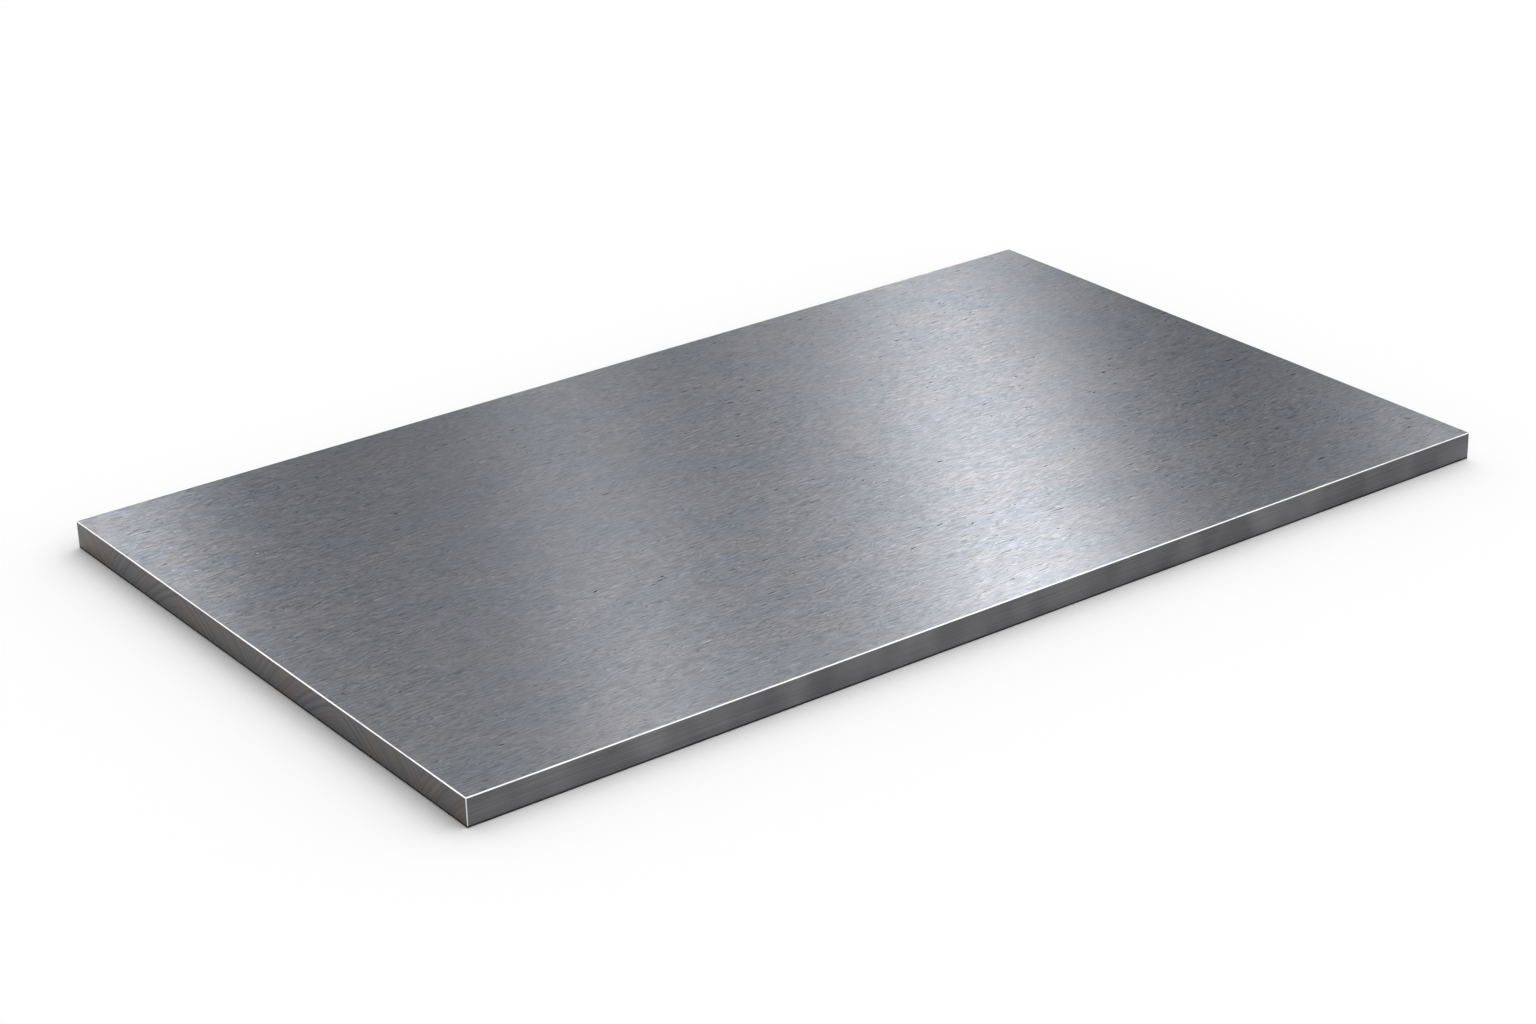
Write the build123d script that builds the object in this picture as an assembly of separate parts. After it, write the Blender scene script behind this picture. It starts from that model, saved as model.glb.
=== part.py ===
from build123d import *
import os

# Steel plate: one flat blank of brushed steel, cut square from rolled stock.
# All sizes are millimetres. The origin is the middle of the underside. +X runs along
# the length, which is also the way the plate was rolled and brushed, +Y runs across
# the width, and +Z points up out of the top face.

# %% Driving dimensions
plate_length = 500.0     # along X, between the two cut ends
plate_width = 300.0      # across Y, between the two long sides
plate_thickness = 12.0   # along Z, the gauge of the rolled stock
edge_round = 0.8         # radius left on every edge and corner where the burr was filed off

# %% Limit of the round
# Two rounds share each side face, one from the top and one from the underside, so
# a round may take no more than this share of the thinnest way through the plate.
most_of_wall = 0.45


def rounding_radius():
    """The radius in use: the filed round, or as much of it as the plate has room for."""
    thinnest = min(plate_thickness, plate_width, plate_length)
    return min(edge_round, most_of_wall * thinnest)


def steel_plate():
    """One solid: a rectangle as long and wide as the blank, raised by its thickness.

    The four long edges, the four edges across the ends and the four upright corners
    are rounded together with one radius, so each corner closes as an eighth of a ball.
    """
    with BuildPart() as plate:
        with BuildSketch(Plane.XY):
            Rectangle(plate_length, plate_width)
        extrude(amount=plate_thickness)
        fillet(plate.edges(), radius=rounding_radius())
    return plate.part


# %% The piece and its file
pieces = {
    "steel_plate": steel_plate(),
}

os.makedirs("parts", exist_ok=True)
for name, piece in pieces.items():
    piece.label = name
    export_step(piece, f"parts/{name}.step")
    box = piece.bounding_box()
    size_text = f"{box.size.X:.2f} x {box.size.Y:.2f} x {box.size.Z:.2f} mm"
    print(f"{name}: {size_text}, lowest point {box.min.Z:.3f} mm, volume {piece.volume / 1000:.2f} cm3")
print(f"round in use on every edge: {rounding_radius():.2f} mm")
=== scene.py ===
# %% [markdown]
# # A brushed steel plate
# The object is one flat blank of rolled steel, cut square and brushed along its length.
# It has no holes and no fittings, so everything that makes it look real is in its skin:
# a surface that is never dead flat, four finishes that rolling, brushing, filing,
# dressing and sawing left on it, a dark lower edge of painted shade, and the way brush
# lines draw the studio's lamps out into soft bands. The imported model gives the exact
# size. This file dresses and lights it.

# %% Load the imported model as a fixed frame
import math

import bpy
import numpy as np
from mathutils import Matrix, Vector


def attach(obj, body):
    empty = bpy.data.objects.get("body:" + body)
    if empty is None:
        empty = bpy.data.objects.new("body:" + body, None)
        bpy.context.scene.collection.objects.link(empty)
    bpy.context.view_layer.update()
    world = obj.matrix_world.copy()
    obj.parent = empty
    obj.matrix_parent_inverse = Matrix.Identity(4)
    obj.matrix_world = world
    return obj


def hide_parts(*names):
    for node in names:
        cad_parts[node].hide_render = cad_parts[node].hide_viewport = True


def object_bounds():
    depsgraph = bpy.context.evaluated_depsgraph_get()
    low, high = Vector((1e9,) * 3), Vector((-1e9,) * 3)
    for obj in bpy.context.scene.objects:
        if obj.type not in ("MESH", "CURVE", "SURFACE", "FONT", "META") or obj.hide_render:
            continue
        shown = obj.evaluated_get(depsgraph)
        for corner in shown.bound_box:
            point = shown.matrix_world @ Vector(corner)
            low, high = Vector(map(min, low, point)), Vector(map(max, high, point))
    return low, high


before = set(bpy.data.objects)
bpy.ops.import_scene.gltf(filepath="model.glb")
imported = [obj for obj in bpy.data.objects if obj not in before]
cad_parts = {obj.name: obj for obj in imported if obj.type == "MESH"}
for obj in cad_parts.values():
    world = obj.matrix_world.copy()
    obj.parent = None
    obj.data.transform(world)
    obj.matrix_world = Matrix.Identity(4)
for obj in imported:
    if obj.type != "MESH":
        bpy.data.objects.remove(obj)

MM = 0.001
cad_low, cad_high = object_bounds()
length, width, thickness = cad_high - cad_low
print(f"the plate is {length / MM:.1f} x {width / MM:.1f} x {thickness / MM:.1f} mm")

# %% [markdown]
# ## The camera
# The plate is seen from above one corner with a long lens. Six numbers say where the
# camera stands and how it is turned: three for its spot, one for its heading from +Y
# towards +X, one for how far it dips below the horizon, and one for a small roll. A
# seventh is the focal length. A look-at constraint could aim it too, but it leaves out
# the roll, which this view needs.

# %% Place the camera
SENSOR_WIDTH = 36.0
CAMERA_SPOT = Vector((-0.7658, -1.0410, 0.5787))
CAMERA_HEADING = math.radians(36.02)
CAMERA_DIP = math.radians(24.28)
CAMERA_ROLL = math.radians(-1.60)
FOCAL_LENGTH = 79.45
FARTHEST_SEEN = 100.0

camera_data = bpy.data.cameras.new("camera")
camera_data.sensor_width = SENSOR_WIDTH
camera_data.lens = FOCAL_LENGTH
camera_data.clip_end = FARTHEST_SEEN
camera = bpy.data.objects.new("camera", camera_data)
turn = (
    Matrix.Rotation(-CAMERA_HEADING, 4, "Z")
    @ Matrix.Rotation(math.pi / 2 - CAMERA_DIP, 4, "X")
    @ Matrix.Rotation(CAMERA_ROLL, 4, "Z")
)
camera.matrix_world = Matrix.Translation(CAMERA_SPOT) @ turn
bpy.context.scene.collection.objects.link(camera)
bpy.context.scene.camera = camera
print(f"the camera is {CAMERA_SPOT.length:.2f} m from the middle of the plate")

# %% [markdown]
# ## Waves in a rolled plate
# A rolled plate is flat to the hand but not to the eye: reflections waver on it. A noise
# texture could fake that in the material, but real height is in the mesh for every
# viewer. A sum of sine waves with seeded headings and lengths is a simple smooth surface
# that does not visibly repeat, and it is worked out for all points at once.

# %% A wandering surface
def wandering(x, y, seed, shortest, longest, count=14, stretch=1.0):
    """Heights from 0 to 1 at the points x, y.

    The height is a half plus the mean of `count` sine waves, cut off at 0 and at 1. Each
    wave has its own heading, its own wavelength between `shortest` and `longest`, and
    its own phase. `stretch` makes the waves that many times longer along x.
    """
    rng = np.random.default_rng(seed)
    heading = rng.uniform(0, 2 * np.pi, count)[:, None]
    wavelength = rng.uniform(shortest, longest, count)[:, None]
    phase = rng.uniform(0, 2 * np.pi, count)[:, None]
    along = x.ravel() / stretch * np.cos(heading) + y.ravel() * np.sin(heading)
    height = np.sin(2 * np.pi * along / wavelength + phase).mean(axis=0)
    return np.clip(0.5 + height, 0, 1).reshape(x.shape)


# %% [markdown]
# ## The plate's skin
# The skin is three surfaces that share their borders: a grid for the top, a grid for the
# underside, and a rim. The rim is one profile carried round the outline: over the filed
# round at the top, down the side, and under the round at the bottom. A bevelled cube
# would give the same outline, but no rows of points to carry the waves, no narrow rows
# beside the rounds to keep the flat faces flat in the light, and an even round where a
# file leaves one that swells and thins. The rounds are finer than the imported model's,
# because the bright line that they draw is that thin on the real plate.

# %% Rows and columns of the flat faces
EDGE_ROUND = 0.42 * MM
CELLS_ALONG = 100
CELLS_ACROSS = 250
NARROW_CELL = 0.25 * MM


def places(low, high, cells):
    """Places from low to high: even cells, and one narrow cell at each end."""
    even = np.linspace(low + NARROW_CELL, high - NARROW_CELL, cells - 1)
    return np.concatenate(([low], even, [high]))


flat_x = places(cad_low.x + EDGE_ROUND, cad_high.x - EDGE_ROUND, CELLS_ALONG)
flat_y = places(cad_low.y + EDGE_ROUND, cad_high.y - EDGE_ROUND, CELLS_ACROSS)
print(f"grid cells are {np.diff(flat_x)[1] / MM:.2f} x {np.diff(flat_y)[1] / MM:.2f} mm")

# %% The outline that the rim follows
FRONT, RIGHT, BACK, LEFT, CORNER = range(5)
CORNER_STEPS = 6


def outline():
    """Points round the flat top, anticlockwise, with their outward headings.

    A side keeps one heading while its point travels. A corner keeps its point while the
    heading turns by a quarter, so the profile there sweeps out an eighth of a ball. The
    third array says which side, or a corner, each stretch to the next point belongs to.
    A corner's first and last stretches count as the sides beside it.
    """
    x_low, x_high = flat_x[0], flat_x[-1]
    y_low, y_high = flat_y[0], flat_y[-1]
    sides = (
        (flat_x, np.full_like(flat_x, y_low)),
        (np.full_like(flat_y, x_high), flat_y),
        (flat_x[::-1], np.full_like(flat_x, y_high)),
        (np.full_like(flat_y, x_low), flat_y[::-1]),
    )
    points, headings, kinds = [], [], []
    for side, (x, y) in enumerate(sides):
        facing = (side - 1) * np.pi / 2
        points.append(np.stack((x, y), axis=1))
        headings.append(np.full(len(x), facing))
        kinds.append(np.full(len(x), side))
        turning = facing + np.linspace(0, np.pi / 2, CORNER_STEPS + 1)[1:-1]
        points.append(np.repeat([[x[-1], y[-1]]], len(turning), axis=0))
        headings.append(turning)
        kinds.append(np.r_[np.full(len(turning) - 1, CORNER), (side + 1) % len(sides)])
    return np.concatenate(points), np.concatenate(headings), np.concatenate(kinds)


outline_points, outline_headings, outline_kinds = outline()
print(f"the outline has {len(outline_points)} points")

# %% The profile of the rim
ON_FLAT, ON_ROUND, ON_SIDE, ON_LOWER_EDGE = range(4)
ROUND_STEPS = 6
SIDE_STEPS = 6
# The last LOWER_LINE of the side takes the lower edges' painted shade.
LOWER_LINE = 0.5 * MM


def profile(round_size):
    """Offsets outwards and heights of the rim's profile, one row for each round size.

    The offset counts from the border of the flat face. Each round is a quarter circle
    of the given size: as it bends, its offset grows with the sine of the bend and its
    drop with one less the cosine. It ends flush with the side, so a smaller round starts
    with a short flat stretch. The side drops straight, and the last LOWER_LINE of it is
    part of the lower edge. The third array says what each step down the profile is.
    """
    size = round_size[:, None]
    bend = np.linspace(0, np.pi / 2, ROUND_STEPS + 1)[None, :]
    arc_out = EDGE_ROUND - size + size * np.sin(bend)
    arc_drop = size * (1 - np.cos(bend))
    share = np.linspace(0, 1, SIDE_STEPS + 1)[None, 1:]
    side_drop = size + share * (thickness - 2 * size - LOWER_LINE)
    side_out = np.full_like(side_drop, EDGE_ROUND)
    start = np.zeros_like(size)
    offset = np.hstack((start, arc_out, side_out, arc_out[:, ::-1], start))
    drop = np.hstack((start, arc_drop, side_drop, thickness - arc_drop[:, ::-1], start + thickness))
    kinds = [ON_FLAT] + [ON_ROUND] * ROUND_STEPS + [ON_SIDE] * SIDE_STEPS
    kinds += [ON_LOWER_EDGE] * (1 + ROUND_STEPS) + [ON_FLAT]
    return offset, cad_high.z - drop, np.array(kinds)


# %% Rounds that swell and thin
# Every round stays a little short of the full size, by its spare share, so that the flat
# stretch beside it never closes up.
ROUND_SWELL = 0.12
ROUND_SPARE = 0.05
SWELL_WAVES = (25 * MM, 90 * MM)
SWELL_SEED = 3

swell = wandering(*outline_points.T, SWELL_SEED, *SWELL_WAVES)
round_size = EDGE_ROUND * (1 - ROUND_SPARE - ROUND_SWELL * swell)
rim_offset, rim_z, profile_kinds = profile(round_size)
print(f"the round runs from {round_size.min() / MM:.2f} to {round_size.max() / MM:.2f} mm")

# %% [markdown]
# ## Joining the three surfaces
# Each surface is a block of points in rows and columns, and its faces are the squares
# between them. Points that lie in the same place, along the borders and at the corners'
# poles, become one point, and a square that loses a side that way becomes a triangle.
# Merging by distance in the editor does the same, but working with whole arrays keeps
# every face's finish and map beside it.

# %% Blocks of points and faces
def block_faces(rows, columns, wrap=False):
    """Corner numbers of the squares between rows and columns of points.

    A square's corners are a point, the next in its row, and the two a row further on.
    With wrap, the last point of a row is followed by the first.
    """
    row, column = np.meshgrid(np.arange(rows - 1), np.arange(columns - (not wrap)), indexing="ij")
    here = row * columns
    beyond = here + columns
    following = (column + 1) % columns
    corners = (here + column, here + following, beyond + following, beyond + column)
    return np.stack([c.ravel() for c in corners], axis=1)


def face_block(z, upwards):
    """The points and faces of a flat grid at height z, facing up or down."""
    y, x = np.meshgrid(flat_y, flat_x, indexing="ij")
    points = np.stack((x.ravel(), y.ravel(), np.full(x.size, z)), axis=1)
    faces = block_faces(len(flat_y), len(flat_x))
    return points, faces if upwards else faces[:, ::-1]


def rim_block():
    """The points and faces of the profile carried round the outline.

    A point is an outline point, plus the profile's offset along the outward heading,
    at the profile's height.
    """
    out = np.stack((np.cos(outline_headings), np.sin(outline_headings)), axis=1)
    flat = outline_points[:, None, :] + rim_offset[:, :, None] * out[:, None, :]
    points = np.concatenate((flat, rim_z[:, :, None]), axis=2)
    down_the_profile = points.transpose(1, 0, 2).reshape(-1, 3)
    faces = block_faces(rim_z.shape[1], len(outline_points), wrap=True)
    return down_the_profile, faces[:, ::-1]


top_points, top_faces = face_block(cad_high.z, upwards=True)
under_points, under_faces = face_block(cad_low.z, upwards=False)
rim_points, rim_faces = rim_block()
print(f"top {len(top_faces)}, underside {len(under_faces)} and rim {len(rim_faces)} faces")

# %% What each face is
FINISHES = range(5)
BRUSHED, EDGE, LONG_SIDE, CUT_END, LOWER_EDGE = FINISHES


def rim_finishes():
    """The finish of each rim face, from its place down the profile and round the plate."""
    step, around = np.meshgrid(profile_kinds, outline_kinds, indexing="ij")
    side = np.where((around == FRONT) | (around == BACK), LONG_SIDE, CUT_END)
    finish = np.where((step == ON_ROUND) | (around == CORNER), EDGE, side)
    finish = np.where(step == ON_LOWER_EDGE, LOWER_EDGE, finish)
    return np.where(step == ON_FLAT, BRUSHED, finish).ravel()


face_finishes = np.concatenate((np.full(len(top_faces) + len(under_faces), BRUSHED), rim_finishes()))
print(f"squares of each finish: {np.bincount(face_finishes).tolist()}")

# %% A map that follows the grain
GRAIN_MAP = "grain"


def grain_map(points, faces):
    """Metres along the grain and across it, at each corner of each face.

    The grain runs along x on the flat faces and long sides, and along y on the cut
    ends. Across it goes y less z, or x less z on the ends, which changes steadily over
    any level or upright face. On the rounds it may stand still, but no finish needs it
    there.
    """
    x, y, z = points[faces].transpose(2, 0, 1)
    ends = (face_finishes == CUT_END)[:, None]
    along = np.where(ends, y, x)
    across = np.where(ends, x, y) - z
    return np.stack((along, across), axis=2)


# %% Waves for the whole skin
# Each set of waves has a depth, a shortest and a longest wavelength, and a seed. Waves
# from working the surface are many and short, and longer along the grain.
WAVE_DEPTH = 0.05 * MM
ROLLING_WAVES = (60 * MM, 160 * MM)
WORK_DEPTH = 0.006 * MM
WORKING_WAVES = (4 * MM, 12 * MM)
WORKING_COUNT = 40
WORKING_STRETCH = 3.0
SIDE_DEPTH = 0.03 * MM
SIDE_WAVES = (8 * MM, 60 * MM)
SIDE_STRETCH = 2.0
TOP_SEED, WORKING_SEED, UNDER_SEED, SIDE_SEED = range(11, 15)


def shape_skin(points):
    """Lowers the top, lifts the underside and draws in the sides by shallow waves.

    The top takes slow waves from rolling and short ones, longer along the grain, from
    working the surface. A point goes down by the top's wave times its height as a share
    of the thickness, and up by the underside's wave times one less that share. A point
    outside the flat border also goes inwards by the side's wave.
    """
    x, y, z = points.T
    share = (z - cad_low.z) / thickness
    top = WAVE_DEPTH * wandering(x, y, TOP_SEED, *ROLLING_WAVES)
    top += WORK_DEPTH * wandering(x, y, WORKING_SEED, *WORKING_WAVES, WORKING_COUNT, WORKING_STRETCH)
    under = WAVE_DEPTH * wandering(x, y, UNDER_SEED, *ROLLING_WAVES)
    side = SIDE_DEPTH * wandering(x + y, z, SIDE_SEED, *SIDE_WAVES, stretch=SIDE_STRETCH)
    return np.stack((
        x - np.sign(x) * side * (np.abs(x) > flat_x[-1]),
        y - np.sign(y) * side * (np.abs(y) > flat_y[-1]),
        z - top * share + under * (1 - share),
    ), axis=1)


# %% [markdown]
# ## Room in the texture for what shows
# When the plate is exported, its finish is painted into one square picture. The top is
# what people look at, so it takes the whole width; the underside gets a smaller copy,
# and the rim is laid out as strips below. An automatic unwrap would share the room out
# evenly and leave the brush lines on top blurred.

# %% Lay the skin out in the unit square
# A strip is drawn a little smaller than the top, because it also holds a corner.
BAKE_MAP = "OFBake"
MARGIN = 0.004
STRIP_SHARE = 0.98
UNDER_SHARE = 0.45
SIDES = 4
SMALL_TURN = 1e-9
TOP_SCALE = (1 - 2 * MARGIN) / (length - 2 * EDGE_ROUND)
TOP_BOTTOM = 1 - MARGIN - TOP_SCALE * (width - 2 * EDGE_ROUND)
STRIP_SCALE = STRIP_SHARE * TOP_SCALE
STRIP_PITCH = STRIP_SCALE * (thickness + 2 * EDGE_ROUND) + MARGIN
UNDER_SCALE = UNDER_SHARE * TOP_SCALE
UNDER_BOTTOM = MARGIN + SIDES * STRIP_PITCH


def flat_bake_map(points, faces, scale, bottom):
    """Places of a flat grid's corners in the unit square, scaled from metres."""
    x, y = points[faces][:, :, 0], points[faces][:, :, 1]
    return np.stack((MARGIN + (x - flat_x[0]) * scale, bottom + (y - flat_y[0]) * scale), axis=2)


def rim_bake_map():
    """The rim's four sides as strips, one above the other.

    Across a strip goes the distance travelled down the profile, and along it the
    distance travelled round the outline from the start of that side. A side starts
    where the outward heading first reaches its own.
    """
    points = rim_points.reshape(rim_z.shape[1], -1, 3)
    middle = points[rim_z.shape[1] // 2]
    loop = np.concatenate((middle, middle[:1]))
    around = np.concatenate(([0], np.cumsum(np.linalg.norm(np.diff(loop, axis=0), axis=1))))
    steps = np.linalg.norm(np.diff(points[:, 0], axis=0), axis=1)
    down = np.concatenate(([0], np.cumsum(steps)))
    starts = np.searchsorted(outline_headings, (np.arange(SIDES) - 1) * np.pi / 2 - SMALL_TURN)
    strip = np.searchsorted(starts, np.arange(len(outline_points)), side="right") - 1
    left = around[:-1] - around[starts][strip]
    right = left + np.diff(around)
    shown = np.stack((left, right, right, left), axis=1)
    depth = np.stack((down[:-1], down[:-1], down[1:], down[1:]), axis=1)
    u = MARGIN + np.broadcast_to(shown, (len(depth), *shown.shape)) * STRIP_SCALE
    bottom = MARGIN + (strip * STRIP_PITCH)[None, :, None]
    v = depth[:, None, :] * STRIP_SCALE + bottom
    print(f"the strips reach {v.max():.3f} up and {u.max():.3f} across")
    return np.stack((u, v), axis=3).reshape(-1, 4, 2)[:, ::-1]


# %% Weld the surfaces and make the mesh
# Points are compared after rounding to this many metres.
WELD = 1e-7


def weld(points, faces):
    """One point for each place, and the faces renumbered to match."""
    keys = np.round(points / WELD).astype(np.int64)
    _, first, renumber = np.unique(keys, axis=0, return_index=True, return_inverse=True)
    return points[first], renumber.ravel()[faces]


def closed_mesh(name, points, faces, finishes, maps):
    """A smooth mesh of squares, some of which welding has narrowed.

    A corner that is the same point as the corner before it is left out, which turns a
    square into a triangle. A square with fewer than three corners left is dropped.
    """
    keep = faces != np.roll(faces, 1, axis=1)
    sides = keep.sum(axis=1)
    solid = sides >= 3
    keep = keep & solid[:, None]
    corners = faces[keep]
    counts = sides[solid]
    mesh = bpy.data.meshes.new(name)
    mesh.vertices.add(len(points))
    mesh.vertices.foreach_set("co", points.ravel())
    mesh.loops.add(len(corners))
    mesh.loops.foreach_set("vertex_index", corners)
    mesh.polygons.add(len(counts))
    mesh.polygons.foreach_set("loop_start", np.concatenate(([0], np.cumsum(counts)[:-1])))
    mesh.polygons.foreach_set("material_index", finishes[solid])
    for map_name, layout in maps.items():
        mesh.uv_layers.new(name=map_name).data.foreach_set("uv", layout[keep].ravel())
    mesh.update(calc_edges=True)
    mesh.validate()
    mesh.shade_smooth()
    return mesh


def skin_mesh():
    """The whole skin as one closed mesh, with its finishes and both maps."""
    points = np.concatenate((top_points, under_points, rim_points))
    after_top = len(top_points)
    after_under = after_top + len(under_points)
    faces = np.concatenate((top_faces, under_faces + after_top, rim_faces + after_under))
    bake = np.concatenate((
        flat_bake_map(top_points, top_faces, TOP_SCALE, TOP_BOTTOM),
        flat_bake_map(under_points, under_faces, UNDER_SCALE, UNDER_BOTTOM),
        rim_bake_map(),
    ))
    maps = {GRAIN_MAP: grain_map(points, faces), BAKE_MAP: bake}
    points, faces = weld(points, faces)
    return closed_mesh("steel_plate_skin", shape_skin(points), faces, face_finishes, maps)


plate_mesh = skin_mesh()
plate = bpy.data.objects.new("brushed_plate", plate_mesh)
bpy.context.scene.collection.objects.link(plate)
plate_mesh.calc_loop_triangles()
print(f"the skin has {len(plate_mesh.vertices)} points and {len(plate_mesh.loop_triangles)} triangles")

# %% [markdown]
# ## Helpers for materials
# Colours are written as sRGB hex values, and one function turns them into the linear
# light that the renderer adds up. Another adds a node with its settings and links, so
# that each material reads as a list of what it is made of. The rest say in one word
# what every finish here needs: a pattern of a real size, a colour that drifts between
# two, a colour made lighter and darker, and the way the grain runs.

# %% Colours
def linear(code):
    """Linear red, green, blue and alpha of an sRGB hex colour."""
    shown = np.array([int(code[i:i + 2], 16) for i in (1, 3, 5)]) / 255
    light = np.where(shown <= 0.04045, shown / 12.92, ((shown + 0.055) / 1.055) ** 2.4)
    return (*light, 1.0)


def grey(level):
    """A grey of that linear level."""
    return (level, level, level, 1.0)


# %% One function for every node
def add_node(tree, kind, inputs=None, **settings):
    """Adds a node with its settings and inputs.

    An input is found by its name, or by its number, among those in use. It takes a
    value, the socket that feeds it, or a node, whose first output in use feeds it.
    """
    made = tree.nodes.new("ShaderNode" + kind)
    for name, value in settings.items():
        setattr(made, name, value)
    in_use = [socket for socket in made.inputs if socket.enabled]
    names = [socket.name for socket in in_use]
    for name, value in (inputs or {}).items():
        entry = in_use[name if isinstance(name, int) else names.index(name)]
        if isinstance(value, bpy.types.Node):
            value = next(socket for socket in value.outputs if socket.enabled)
        if isinstance(value, bpy.types.NodeSocket):
            tree.links.new(value, entry)
        else:
            entry.default_value = value
    return made


def new_material(name):
    """An empty node material, and its tree."""
    material = bpy.data.materials.new(name)
    material.use_nodes = True
    material.node_tree.nodes.clear()
    return material, material.node_tree


# %% Patterns and shades
# Noise seldom leaves the middle part of its range, so that part is spread over what a
# pattern should span.
NOISE_SPAN = {"From Min": 0.3, "From Max": 0.7}


def pattern(tree, place, size_mm, **settings):
    """Noise from 0 to 1 whose features measure size_mm along x, y and z."""
    scale = tuple(1 / (size * MM) for size in size_mm)
    stretched = add_node(tree, "Mapping", {"Vector": place, "Scale": scale})
    inputs = {"Vector": stretched, "Scale": 1.0, "Detail": 2.0} | settings
    return add_node(tree, "TexNoise", inputs)


def drifting(tree, place, size_mm, first, second, **settings):
    """A colour that drifts between two hex colours in patches of size_mm."""
    patches = pattern(tree, place, size_mm, **settings)
    amount = add_node(tree, "MapRange", {"Value": patches} | NOISE_SPAN)
    colours = {"Factor": amount, "A": linear(first), "B": linear(second)}
    return add_node(tree, "Mix", colours, data_type="RGBA")


def shaded(tree, tint, shade):
    """The tint times the shade, which is 1 where the tint stays as it is."""
    lit = add_node(tree, "CombineColor", {"Red": shade, "Green": shade, "Blue": shade})
    product = {"Factor": 1.0, "A": tint, "B": lit}
    return add_node(tree, "Mix", product, data_type="RGBA", blend_type="MULTIPLY")


# %% [markdown]
# ## Which way the grain runs
# Brush lines act as thousands of thin grooves: they mirror a lamp sharply along the
# grain and smear it across, which turns each lamp into a band. Drawing every groove
# would take a mesh or a picture far finer than the render. The shader's anisotropy does
# it with one number, if a tangent tells it the grain's direction. The tangent comes from
# the plate's own grain map, so the bands stay right from every side.

# %% Tangent along the grain
# The shader's grooves run across its tangent, so the tangent gets a quarter turn.
ALONG_THE_GRAIN = 0.25


def grain_tangent(tree):
    """The direction of the grain, from the plate's grain map."""
    return add_node(tree, "Tangent", direction_type="UV_MAP", uv_map=GRAIN_MAP)


# %% Dress a finish
def dress(finish, material):
    """Gives one finish of the plate its material, and says how many faces show it."""
    while len(plate_mesh.materials) < len(FINISHES):
        plate_mesh.materials.append(None)
    plate_mesh.materials[finish] = material
    shown = np.zeros(len(plate_mesh.polygons), dtype=np.int32)
    plate_mesh.polygons.foreach_get("material_index", shown)
    print(f"{material.name} covers {np.count_nonzero(shown == finish)} faces")


# %% [markdown]
# ## Brushed steel
# The top is bare mild steel that was rolled, then brushed along the length. Single brush
# lines, a tenth of a millimetre wide, are left to the anisotropy. What the eye can make
# out is coarser: short wavering streaks about a millimetre wide and some millimetres
# long, drawn lighter and darker with a slight bump, and a few nicks, each a dark groove
# of painted shade beside a pale lip of painted highlight. Faint patches of blue and
# brown are what heat and handling leave.

# %% Wandering streaks and nicks
# The streaks and nicks are as coarse as the real plate shows them at this distance.
STREAK_MM = (6.5, 0.8, 0.8)
STREAK_NOISE = {"Detail": 4.0, "Roughness": 0.7}
STREAK_SHADE = {"To Min": 0.60, "To Max": 1.36}
STREAK_HEIGHT = 0.02 * MM
WANDER_MM = (22.0, 9.0, 9.0)
WANDER_REACH = 1.6 * MM
PATCH_MM = (34.0, 16.0, 16.0)
NICK_MM = (7.0, 0.6, 0.6)
PAINTED_LIP_OFFSET = 0.4 * MM
NICK_SPAN = {"From Min": 0.62, "From Max": 0.72}


def wavering(tree, place):
    """The place of each point, shifted sideways by slow noise so that streaks wander."""
    slow = pattern(tree, place, WANDER_MM)
    reach = {"To Min": -WANDER_REACH, "To Max": WANDER_REACH}
    drift = add_node(tree, "MapRange", {"Value": slow} | NOISE_SPAN | reach)
    shift = add_node(tree, "CombineXYZ", {"Y": drift, "Z": drift})
    return add_node(tree, "VectorMath", {0: place, 1: shift}, operation="ADD")


def nicks(tree, place):
    """1 inside short sparse nicks, 0 elsewhere: the rare peaks of a stretched noise."""
    peaks = pattern(tree, place, NICK_MM, Detail=1.0)
    return add_node(tree, "MapRange", {"Value": peaks} | NICK_SPAN)


# %% Material of the top and underside
# Roughness and anisotropy are matched to the width and the length of the bands.
# The first number is the strength of the painted highlight on a nick's lip and of the painted shade in the
# nick.
NICK_PAINTED_LIGHT = 0.48
BRUSHED_ROUGHNESS = 0.276
BRUSHED_ANISOTROPY = 0.9
BRUSHED_RIM_MIRROR = 0.25


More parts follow.
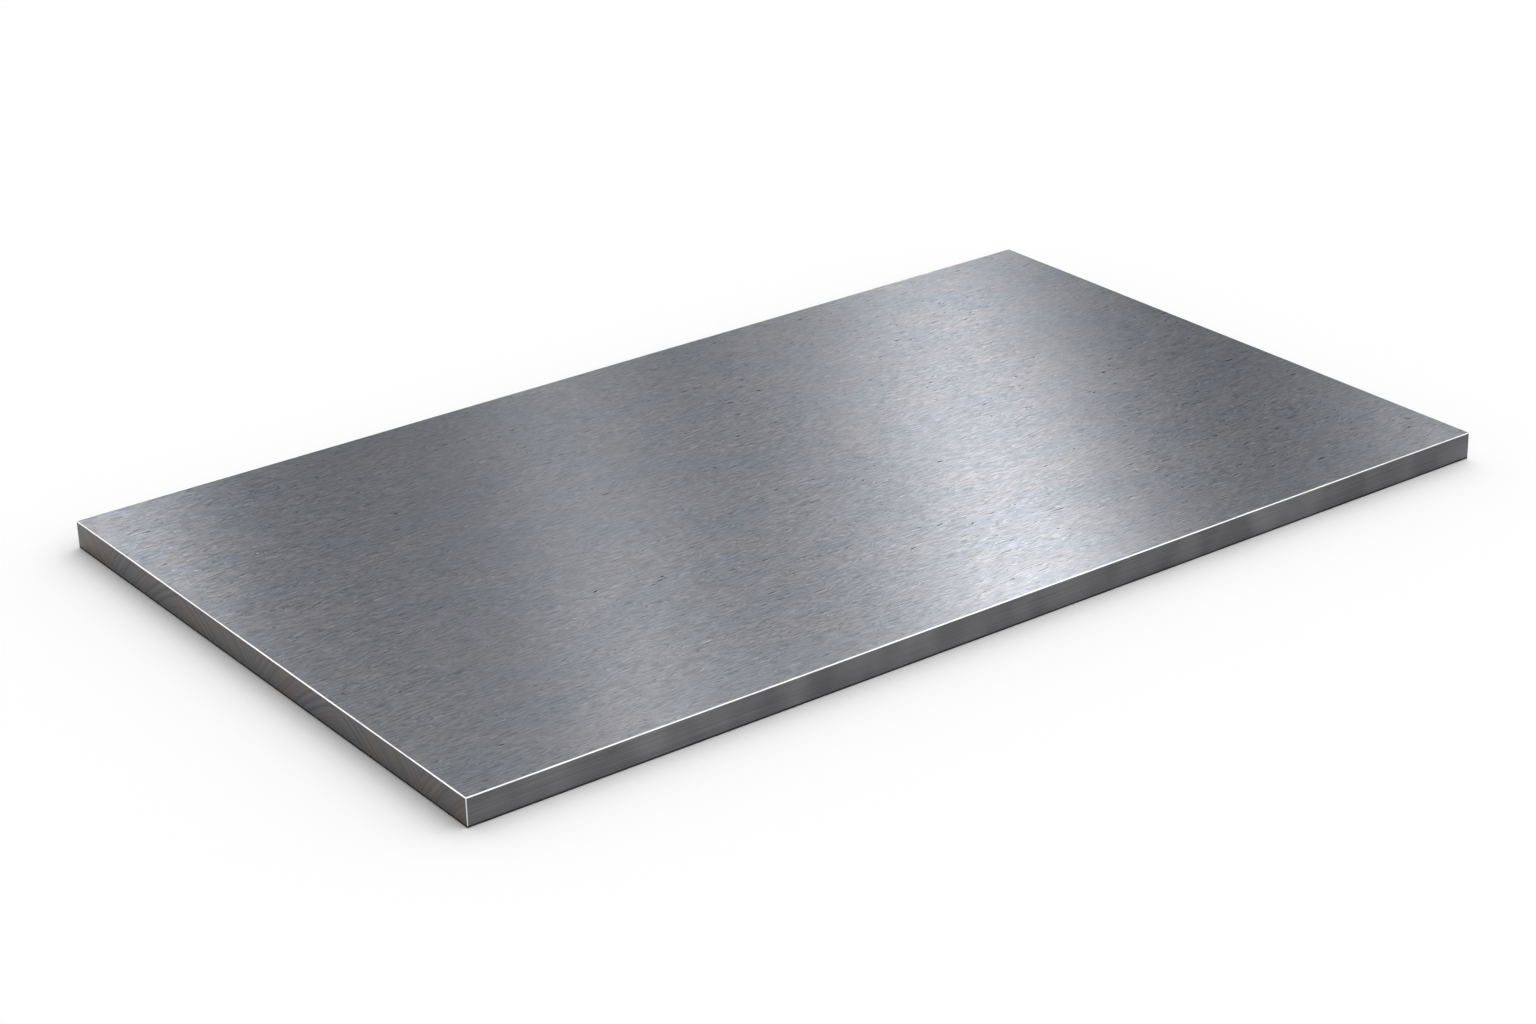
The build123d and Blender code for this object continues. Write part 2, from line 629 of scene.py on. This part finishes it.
def brushed_steel():
    """Bare steel brushed along x, with short nicks: a dark side of painted shade and a pale lip of painted
    highlight.

    The shade is the streaks' shade, raised on a lip by a painted highlight and lowered in a
    nick by painted shade, both of one fixed strength. The last setting is how much of the
    metal's mirror is left at a grazing angle.
    """
    material, tree = new_material("brushed_rolled_steel")
    place = add_node(tree, "TexCoord").outputs["Object"]
    bent = wavering(tree, place)
    streaks = pattern(tree, bent, STREAK_MM, **STREAK_NOISE)
    brushing = add_node(tree, "MapRange", {"Value": streaks} | NOISE_SPAN | STREAK_SHADE)
    beside = add_node(tree, "VectorMath", {0: bent, 1: (0, PAINTED_LIP_OFFSET, 0)}, operation="ADD")
    painted_lip_and_nick = {0: nicks(tree, beside), 1: nicks(tree, bent)}
    painted_relief = add_node(tree, "Math", painted_lip_and_nick, operation="SUBTRACT")
    shade = add_node(tree, "Math", {0: painted_relief, 1: NICK_PAINTED_LIGHT, 2: brushing}, operation="MULTIPLY_ADD")
    tint = drifting(tree, place, PATCH_MM, "#69696c", "#64676c")
    shader = add_node(tree, "BsdfPrincipled", {
        "Base Color": shaded(tree, tint, shade),
        "Metallic": 1.0,
        "Roughness": BRUSHED_ROUGHNESS,
        "Anisotropic": BRUSHED_ANISOTROPY,
        "Anisotropic Rotation": ALONG_THE_GRAIN,
        "Tangent": grain_tangent(tree),
        "Normal": add_node(tree, "Bump", {"Height": streaks, "Distance": STREAK_HEIGHT, "Strength": 1.0}),
        "Specular Tint": grey(BRUSHED_RIM_MIRROR),
    })
    add_node(tree, "OutputMaterial", {"Surface": shader})
    return material


dress(BRUSHED, brushed_steel())

# %% [markdown]
# ## The filed edges
# Where the burr was filed off, fresh steel shows. It is much paler than the brushed
# faces, and the file left it duller, so the rounds catch the pale room as a fine bright
# line whichever way they face. Fine lines along the edge break it up a little.

# %% Material of the upper rounds and the corners
FILE_LINE_MM = (9.0, 9.0, 0.3)
FILE_PATCH_MM = (25.0, 25.0, 25.0)
FILED_ROUGHNESS = {"To Min": 0.36, "To Max": 0.46}
FILED_RIM_MIRROR = 0.1


def filed_steel():
    """Fresh steel left by a file along every upper edge and down every corner."""
    material, tree = new_material("filed_steel")
    place = add_node(tree, "TexCoord").outputs["Object"]
    lines = pattern(tree, place, FILE_LINE_MM)
    shader = add_node(tree, "BsdfPrincipled", {
        "Base Color": drifting(tree, place, FILE_PATCH_MM, "#c8c8c9", "#dcdcdd"),
        "Metallic": 1.0,
        "Roughness": add_node(tree, "MapRange", {"Value": lines} | NOISE_SPAN | FILED_ROUGHNESS),
        "Specular Tint": grey(FILED_RIM_MIRROR),
    })
    add_node(tree, "OutputMaterial", {"Surface": shader})
    return material


dress(EDGE, filed_steel())

# %% [markdown]
# ## The long sides
# The long sides were left by rolling and dressed lengthwise, so they carry fine lines
# along x on a darker, duller ground than the top. The lines are drawn 0.4 mm apart,
# coarser than a belt leaves them, so that they show at this distance.

# %% Material of the long sides
SIDE_LINE_MM = (45.0, 45.0, 0.4)
SIDE_CLOUD_MM = (16.0, 16.0, 30.0)
SIDE_SHADE = {"To Min": 0.85, "To Max": 1.15}
SIDE_LINE_HEIGHT = 0.01 * MM
SIDE_ROUGHNESS = 0.42
SIDE_ANISOTROPY = 0.6


def dressed_side_steel():
    """The long sides, dressed along x."""
    material, tree = new_material("dressed_side_steel")
    place = add_node(tree, "TexCoord").outputs["Object"]
    lines = pattern(tree, place, SIDE_LINE_MM, Detail=4.0)
    tint = drifting(tree, place, SIDE_CLOUD_MM, "#5a5a5c", "#6e6e70", Detail=1.0)
    shade = add_node(tree, "MapRange", {"Value": lines} | NOISE_SPAN | SIDE_SHADE)
    shader = add_node(tree, "BsdfPrincipled", {
        "Base Color": shaded(tree, tint, shade),
        "Metallic": 1.0,
        "Roughness": SIDE_ROUGHNESS,
        "Anisotropic": SIDE_ANISOTROPY,
        "Anisotropic Rotation": ALONG_THE_GRAIN,
        "Tangent": grain_tangent(tree),
        "Normal": add_node(tree, "Bump", {"Height": lines, "Distance": SIDE_LINE_HEIGHT, "Strength": 1.0}),
    })
    add_node(tree, "OutputMaterial", {"Surface": shader})
    return material


dress(LONG_SIDE, dressed_side_steel())

# %% [markdown]
# ## The cut ends
# A saw leaves shallow arcs that lean and curve across the narrow end, with a trace of
# brown where the cut ran hot. Rings around one centre, well below the plate, are close
# to such arcs and take one step to draw. The end is folded to and fro every few
# centimetres first, so that the arcs lean by turns one way and the other, as a saw that
# was swung back and forth leaves them.

# %% Material of the cut ends
BLADE_CENTRE = Vector((0, 0.09, -0.07))
SWING = 0.06
ARC_MM = (1.6, 1.0, 1.0)
END_CLOUD_MM = (14.0, 14.0, 9.0)
ARC_SHADE = {"To Min": 0.7, "To Max": 1.3}
ARC_HEIGHT = 0.02 * MM
SAWN_ROUGHNESS = 0.42


def sawn_steel():
    """The cut ends, with arcs about a distant blade centre.

    The arcs are noise along one line: the distance of each point, with its y folded,
    from the blade's centre.
    """
    material, tree = new_material("sawn_steel")
    place = add_node(tree, "TexCoord").outputs["Object"]
    parts = add_node(tree, "SeparateXYZ", {"Vector": place})
    folded = add_node(tree, "Math", {0: parts.outputs["Y"], 1: SWING}, operation="PINGPONG")
    on_arc = add_node(tree, "CombineXYZ", {"Y": folded, "Z": parts.outputs["Z"]})
    reach = add_node(tree, "VectorMath", {0: on_arc, 1: BLADE_CENTRE}, operation="DISTANCE")
    ring = add_node(tree, "CombineXYZ", {"X": reach})
    arcs = pattern(tree, ring, ARC_MM, Detail=3.0)
    tint = drifting(tree, place, END_CLOUD_MM, "#66605c", "#5d5f63")
    shade = add_node(tree, "MapRange", {"Value": arcs} | NOISE_SPAN | ARC_SHADE)
    shader = add_node(tree, "BsdfPrincipled", {
        "Base Color": shaded(tree, tint, shade),
        "Metallic": 1.0,
        "Roughness": SAWN_ROUGHNESS,
        "Normal": add_node(tree, "Bump", {"Height": arcs, "Distance": ARC_HEIGHT, "Strength": 1.0}),
    })
    add_node(tree, "OutputMaterial", {"Surface": shader})
    return material


dress(CUT_END, sawn_steel())

# %% [markdown]
# ## The lower edges
# The lower rounds and the last half millimetre of the side are given a dark, dull
# colour. It is painted shade: the thin dark line where the plate meets its shadow.

# %% Material of the lower rounds
# The dark colour of the lower edges is painted shade of the contact line.
LOWER_SHADE_PATCH_MM = (20.0, 20.0, 20.0)
LOWER_SHADE_ROUGHNESS = 0.5
LOWER_SHADE_RIM_MIRROR = 0.2


def lower_edge_painted_shade():
    """Dark, dull steel along every lower edge: painted shade where the plate meets its shadow."""
    material, tree = new_material("lower_edge_painted_shade")
    place = add_node(tree, "TexCoord").outputs["Object"]
    shader = add_node(tree, "BsdfPrincipled", {
        "Base Color": drifting(tree, place, LOWER_SHADE_PATCH_MM, "#333435", "#434344"),
        "Metallic": 1.0,
        "Roughness": LOWER_SHADE_ROUGHNESS,
        "Specular Tint": grey(LOWER_SHADE_RIM_MIRROR),
    })
    add_node(tree, "OutputMaterial", {"Surface": shader})
    return material


dress(LOWER_EDGE, lower_edge_painted_shade())

# %% Put the plate in the frame
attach(plate, "root")
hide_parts("steel_plate")
print(f"the plate wears {[m.name for m in plate_mesh.materials]}")

# %% [markdown]
# ## The floor
# A pale studio floor takes the plate's soft shadow and runs on to the horizon. Its white
# is in its colour: to the eye, and in the metal, it is as white as the room behind it,
# while the light it throws back on the plate is that of a plain pale floor.

# %% Floor
FLOOR_REACH = 30.0
FLOOR_CORNERS = ((-1, -1), (1, -1), (1, 1), (-1, 1))
FLOOR_WHITE = 1.02
FLOOR_PALE = 0.8


def seen(tree):
    """1 for the camera and for what metal or glass shows, 0 for scattered light."""
    path = add_node(tree, "LightPath")
    shown = {0: path.outputs["Is Camera Ray"], 1: path.outputs["Is Glossy Ray"]}
    eye_or_metal = add_node(tree, "Math", shown, operation="MAXIMUM")
    through_glass = path.outputs["Is Transmission Ray"]
    return add_node(tree, "Math", {0: eye_or_metal, 1: through_glass}, operation="MAXIMUM")


def studio_floor():
    """A wide pale floor at the height of the plate's underside."""
    corners = [(x * FLOOR_REACH, y * FLOOR_REACH, cad_low.z) for x, y in FLOOR_CORNERS]
    mesh = bpy.data.meshes.new("studio_floor")
    mesh.from_pydata(corners, [], [(0, 1, 2, 3)])
    floor = bpy.data.objects.new("studio_floor", mesh)
    bpy.context.scene.collection.objects.link(floor)
    material, tree = new_material("pale_floor_paint")
    colours = {"Factor": seen(tree), "A": grey(FLOOR_PALE), "B": grey(FLOOR_WHITE)}
    paint = add_node(tree, "BsdfDiffuse", {"Color": add_node(tree, "Mix", colours, data_type="RGBA")})
    add_node(tree, "OutputMaterial", {"Surface": paint})
    mesh.materials.append(material)
    return floor


floor = studio_floor()
print(f"the floor is {2 * FLOOR_REACH:.0f} m wide")

# %% [markdown]
# ## The room
# To the eye and in the metal the room is an even white. The light that it scatters on
# the floor comes mostly from high on the right, which leaves the plate's shadow darkest
# beside its short side, on the left. A large lamp could throw that shadow too, but a
# sloping room gives both the dark line of contact and the slow fading in one step.

# %% Room
ROOM_LIGHT = 0.98
ROOM_SLOPE = 1.0
BRIGHT_SIDE = math.radians(12)
STEEPEST = 0.5


def white_room():
    """A world that is even and white to look at, and uneven as a light.

    A direction's sideways part times its upward part is a product that never passes
    STEEPEST. Its scattered light is ROOM_LIGHT times 1 plus ROOM_SLOPE times the
    product's share of STEEPEST. Sideways is towards BRIGHT_SIDE, an angle from +X.
    """
    world = bpy.data.worlds.new("white_room")
    world.use_nodes = True
    tree = world.node_tree
    tree.nodes.clear()
    towards = add_node(tree, "TexCoord").outputs["Generated"]
    bright_side = (math.cos(BRIGHT_SIDE), math.sin(BRIGHT_SIDE), 0)
    sideways = add_node(tree, "VectorMath", {0: towards, 1: bright_side}, operation="DOT_PRODUCT")
    upwards = add_node(tree, "SeparateXYZ", {"Vector": towards}).outputs["Z"]
    scattered = add_node(tree, "MapRange", {
        "Value": add_node(tree, "Math", {0: sideways, 1: upwards}, operation="MULTIPLY"),
        "From Min": -STEEPEST,
        "From Max": STEEPEST,
        "To Min": ROOM_LIGHT * (1 - ROOM_SLOPE),
        "To Max": ROOM_LIGHT * (1 + ROOM_SLOPE),
    })
    strength = add_node(tree, "MapRange", {"Value": seen(tree), "To Min": scattered, "To Max": 1.0})
    glow = add_node(tree, "Background", {"Color": grey(1.0), "Strength": strength})
    add_node(tree, "OutputWorld", {"Surface": glow})
    bpy.context.scene.world = world
    return world


room = white_room()
print(f"{room.name} scatters up to {ROOM_LIGHT * (1 + ROOM_SLOPE):.2f} from its bright side")

# %% [markdown]
# ## The softboxes
# Tall narrow lamps stand round the plate, far enough away that every point of it sees
# them at nearly the same angle. Brushed metal shows a lamp wherever the view and the
# lamp make equal and opposite angles with the grain, so each softbox is placed by one
# number, the cosine of its angle to the x axis. The set that the camera sees in the
# metal stands behind the plate on the right. The same set stands mirrored at the other
# corners, so that the plate shows bands from there too, and the middle and end lamps
# give it a soft gradient from straight ahead and from its ends.

# %% Softboxes
# A lamp's four numbers: cosine to the x axis, span of that cosine, degrees that it
# stands above the floor, and how many times brighter than the white room it looks.
SOFTBOXES = {
    "main": (0.595, 0.025, 42, 57),
    "shoulder": (0.549, 0.0125, 42, 16),
    "second": (0.4873, 0.0125, 42, 38),
    "between": (0.421, 0.025, 42, 5),
    "left": (0.3525, 0.0375, 28, 22),
    "right": (0.7025, 0.0125, 42, 39),
    "middle": (0.0, 0.08, 42, 8),
    "end": (0.93, 0.04, 86, 14),
}
RISE_SPAN = 14
LAMP_DISTANCE = 14.0
LAMP_COLOUR = linear("#fffefa")[:3]


def softbox(name, grain_cosine, cosine_span, rise, glow):
    """A tall area lamp that stands on a cone about the x axis.

    The cone holds every direction with the given cosine to x, and `rise` says how far
    round it the lamp stands above the floor, in degrees. The lamp's width covers the
    span of the cosine, and its height covers RISE_SPAN. An area lamp's energy is its
    glow times pi times its area. The lamps light the metal alone, and the floor is left
    to the room.
    """
    spread = math.sqrt(1 - grain_cosine ** 2)
    angle = math.radians(rise)
    towards = Vector((grain_cosine, spread * math.cos(angle), spread * math.sin(angle)))
    along_cone = Vector((1, 0, 0)).cross(towards).normalized()
    sideways = along_cone.cross(towards).normalized()
    lamp = bpy.data.lights.new(name, "AREA")
    lamp.shape = "RECTANGLE"
    lamp.size = LAMP_DISTANCE * cosine_span / spread
    lamp.size_y = LAMP_DISTANCE * spread * math.radians(RISE_SPAN)
    lamp.energy = glow * math.pi * lamp.size * lamp.size_y
    lamp.color = LAMP_COLOUR
    holder = bpy.data.objects.new(name, lamp)
    turn = Matrix((sideways, along_cone, towards)).transposed()
    holder.matrix_world = Matrix.Translation(towards * LAMP_DISTANCE) @ turn.to_4x4()
    holder.visible_camera = False
    holder.visible_diffuse = False
    bpy.context.scene.collection.objects.link(holder)
    return holder


softboxes = []
for name, (grain_cosine, cosine_span, rise, glow) in SOFTBOXES.items():
    for place, risen in (("back", rise), ("front", 180 - rise)):
        softboxes.append(softbox(f"{name}_{place}_softbox", grain_cosine, cosine_span, risen, glow))
        if grain_cosine:
            mirrored = f"{name}_{place}_mirrored"
            softboxes.append(softbox(mirrored, -grain_cosine, cosine_span, risen, glow))
print(f"{len(softboxes)} softboxes stand {LAMP_DISTANCE:.0f} m from the plate")

# %% Show colours as they are written
bpy.context.scene.view_settings.view_transform = "Standard"
